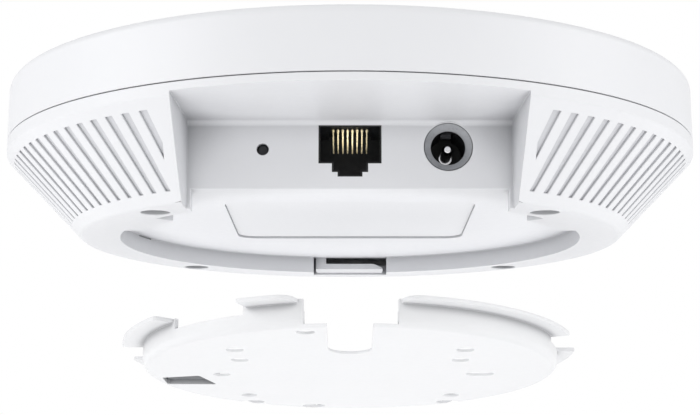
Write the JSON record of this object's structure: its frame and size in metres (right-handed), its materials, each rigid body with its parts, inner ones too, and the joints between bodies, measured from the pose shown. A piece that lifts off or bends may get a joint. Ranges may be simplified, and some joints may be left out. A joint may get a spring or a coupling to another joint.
{
  "type": "ceiling access point",
  "caption": "Round ceiling access point with a slotted skirt, a recessed port bay and a separate twist-lock mounting bracket hanging below it.",
  "frame": {"origin": "centre of the housing's back ring, in the plane that faces the ceiling", "axes": "+Z towards the dome, -Y towards the port bay"},
  "size_m": [0.16, 0.16, 0.072],
  "materials": {
    "housing_white": "fine satin texture",
    "cover_white": "satin",
    "label_white": "matt",
    "bracket_white": "satin",
    "board_green": "solder mask",
    "chip_black": "matt",
    "shield_steel": "tinned",
    "thermal_pad": "matt",
    "spreader_aluminium": "satin",
    "antenna_steel": "tinned",
    "led_white": "gloss",
    "clear_plastic": "clear",
    "jack_black": "satin",
    "bezel_grey": "satin",
    "pin_chrome": "polished",
    "button_grey": "satin",
    "screw_steel": "zinc",
    "contact_gold": "gold plated"
  },
  "bodies": {
    "access_point": {"rear_housing": "housing_white", "front_cover": "cover_white", "rating_label": "label_white", "main_board": "board_green", "processor": "chip_black", "flash_memory": "chip_black", "radio_chip_2g": "chip_black", "radio_chip_5g": "chip_black", "ethernet_magnetics": "chip_black", "shield_can_processor": "shield_steel", "shield_can_radio": "shield_steel", "thermal_pad_processor": "thermal_pad", "thermal_pad_radio": "thermal_pad", "heat_spreader": "spreader_aluminium", "storage_capacitor_1": "spreader_aluminium", "storage_capacitor_2": "spreader_aluminium", "antenna_2g_left": "antenna_steel", "antenna_2g_right": "antenna_steel", "antenna_5g_left": "antenna_steel", "antenna_5g_right": "antenna_steel", "status_led": "led_white", "light_pipe": "clear_plastic", "ethernet_jack": "jack_black", "ethernet_shield": "shield_steel", "power_jack": "jack_black", "power_jack_bezel": "bezel_grey", "power_jack_pin": "pin_chrome", "reset_switch": "jack_black", "case_screw_1": "screw_steel", "board_screw_1": "screw_steel", "case_screw_2": "screw_steel", "board_screw_2": "screw_steel", "case_screw_3": "screw_steel", "board_screw_3": "screw_steel", "case_screw_4": "screw_steel", "board_screw_4": "screw_steel"},
    "reset_button": {"reset_button": "button_grey"},
    "ethernet_contacts": {"ethernet_contact_1": "contact_gold", "ethernet_contact_2": "contact_gold", "ethernet_contact_3": "contact_gold", "ethernet_contact_4": "contact_gold", "ethernet_contact_5": "contact_gold", "ethernet_contact_6": "contact_gold", "ethernet_contact_7": "contact_gold", "ethernet_contact_8": "contact_gold"},
    "power_jack_spring": {"power_jack_spring": "pin_chrome"},
    "mounting_bracket": {"mounting_bracket": "bracket_white"},
    "bracket_latch": {"bracket_latch": "bracket_white"}
  },
  "joints": [
    {"name": "bracket_swing", "type": "hinge", "parent": "access_point", "child": "mounting_bracket", "pos_m": [0, -0.17865, -0.01909], "axis": [1, 0, 0], "range_deg": [0, 7.36]},
    {"name": "latch_flex", "type": "hinge", "parent": "mounting_bracket", "child": "bracket_latch", "pos_m": [0.00884, 0.04643, -0.03305], "axis": [0, 0.1281, 0.9918], "range_deg": [0, 6], "stiffness_Nm_per_rad": 0.5},
    {"name": "reset_press", "type": "slide", "parent": "access_point", "child": "reset_button", "axis": [0, 1, 0], "range_m": [0, 0.00035], "stiffness_N_per_m": 500},
    {"name": "contact_flex", "type": "hinge", "parent": "access_point", "child": "ethernet_contacts", "pos_m": [0, -0.0426, 0.0182], "axis": [1, 0, 0], "range_deg": [0, 7], "stiffness_Nm_per_rad": 0.05},
    {"name": "power_spring_flex", "type": "hinge", "parent": "access_point", "child": "power_jack_spring", "pos_m": [0.0205, -0.0418, 0.01745], "axis": [1, 0, 0], "range_deg": [0, 5], "stiffness_Nm_per_rad": 0.05}
  ]
}
